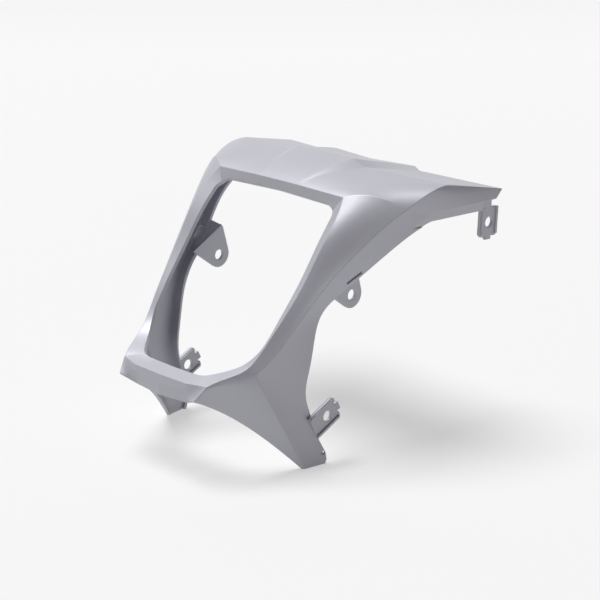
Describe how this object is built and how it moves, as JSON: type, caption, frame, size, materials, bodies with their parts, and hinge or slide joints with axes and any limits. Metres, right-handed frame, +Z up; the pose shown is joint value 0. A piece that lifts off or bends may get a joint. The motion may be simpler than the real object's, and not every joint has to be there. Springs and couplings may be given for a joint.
{
  "type": "motorcycle headlight cowl",
  "caption": "Thin-walled painted cowl that frames a motorcycle headlight, with a raised visor, swept side wings, a forward chin and drilled fixing lugs.",
  "frame": {"origin": "middle of the axis through the two side lugs, on the mirror plane", "axes": "+X towards the part's own left flank, along the lug axis; -Y towards the front, where the lamp looks out; +Z up"},
  "size_m": [0.2182, 0.2387, 0.2007],
  "materials": {
    "silver_paint": "satin silver-grey paint over moulded plastic"
  },
  "bodies": {
    "root": {"headlight_cowl": "silver_paint"}
  },
  "joints": []
}
